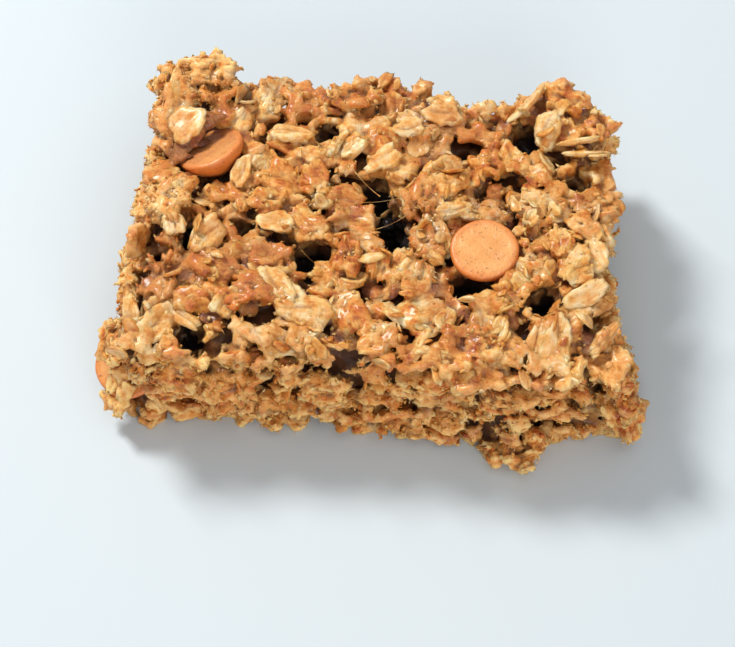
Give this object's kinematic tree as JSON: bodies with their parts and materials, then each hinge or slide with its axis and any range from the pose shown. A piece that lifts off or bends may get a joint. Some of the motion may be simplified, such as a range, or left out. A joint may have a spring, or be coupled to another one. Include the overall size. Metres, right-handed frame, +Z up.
{
  "type": "granola bar",
  "caption": "Thick baked oat granola bar cut from a tray, with crumbly cut sides, a sticky flaked top and butterscotch-coloured baking chips set in it.",
  "frame": {"origin": "middle of the base, on the surface that the bar lies on", "axes": "+X along the bar, +Z up through its thickness, the front cut face towards -Y"},
  "size_m": [0.0806, 0.057, 0.0241],
  "materials": {
    "baked_oats": "sticky baked oats with a soft sheen",
    "baking_chip": "waxy satin"
  },
  "bodies": {
    "root": {"oat_bar": "baked_oats", "baking_chip_1": "baking_chip", "baking_chip_2": "baking_chip", "baking_chip_3": "baking_chip"}
  },
  "joints": []
}
